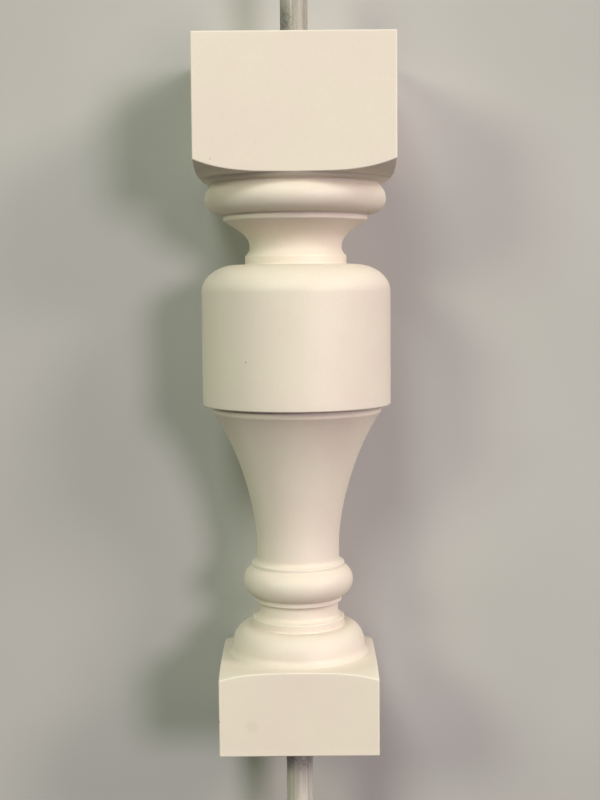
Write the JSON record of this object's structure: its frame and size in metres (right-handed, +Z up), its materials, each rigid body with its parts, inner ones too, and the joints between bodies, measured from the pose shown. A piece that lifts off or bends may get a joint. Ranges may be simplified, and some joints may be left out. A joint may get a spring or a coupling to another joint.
{
  "type": "stone baluster",
  "caption": "Turned cast-stone baluster lying down: square plinth and cap, drum, tapering neck and bead mouldings, with a metal tube through its length.",
  "frame": {"origin": "on the ground, below the middle of the part as it lies", "axes": "+Y along the baluster's axis towards its foot, +Z up as it lies, +X across it"},
  "size_m": [0.168, 0.78, 0.168],
  "materials": {
    "cast_stone": "smooth, semi-matt off-white cast stone",
    "galvanised_steel": "drawn zinc-coated steel tube, slightly dulled"
  },
  "bodies": {
    "root": {"baluster": "cast_stone", "core_tube": "galvanised_steel"}
  },
  "joints": []
}
